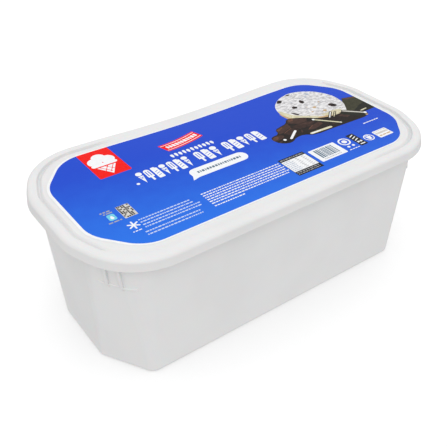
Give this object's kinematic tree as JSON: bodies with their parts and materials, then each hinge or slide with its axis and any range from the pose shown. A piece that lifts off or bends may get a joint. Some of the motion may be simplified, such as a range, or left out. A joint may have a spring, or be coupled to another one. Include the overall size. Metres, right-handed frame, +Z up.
{
  "type": "ice cream tub with lid",
  "caption": "Shut rectangular ice cream tub with cut corners, a tapered wall, a press-on lid with a rounded rim, and a printed label on the lid's panel.",
  "frame": {"origin": "centre of the foot that the tub stands on", "axes": "+X along the tub's length, towards the end with the drawn scoop; +Y across it, towards the edge with the red flag; +Z up, out of the lid"},
  "size_m": [0.313, 0.16, 0.112],
  "materials": {
    "tub_plastic": "satin white moulded polypropylene, very slightly translucent",
    "lid_plastic": "satin white moulded polypropylene",
    "label_film": "satin in-mould film printed royal blue with a red flag, white bars and a drawn scoop of ice cream"
  },
  "bodies": {
    "root": {"tub": "tub_plastic", "lid": "lid_plastic", "label": "label_film"}
  },
  "joints": []
}
